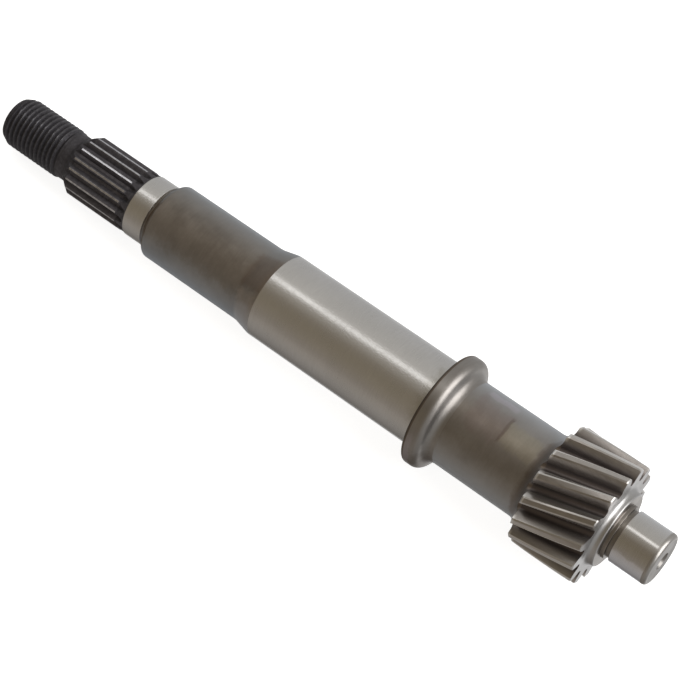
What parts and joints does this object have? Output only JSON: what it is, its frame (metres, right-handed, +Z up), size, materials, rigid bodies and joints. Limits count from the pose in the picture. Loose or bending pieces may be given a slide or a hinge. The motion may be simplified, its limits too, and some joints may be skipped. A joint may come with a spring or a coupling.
{
  "type": "drive shaft",
  "caption": "Stepped steel drive shaft with a threaded and splined end, a ground bearing journal, a collar and an integral helical pinion.",
  "frame": {"origin": "on the shaft's axis, in the plane of the collar's face that a bearing on the journal comes up against", "axes": "+X along the shaft's axis towards the pinion end, +Z up with the shaft lying on its side"},
  "size_m": [0.1751, 0.0278, 0.0278],
  "materials": {
    "steel": "turned and ground bare steel, blackened at the thread and the spline"
  },
  "bodies": {
    "root": {"drive_shaft": "steel"}
  },
  "joints": []
}
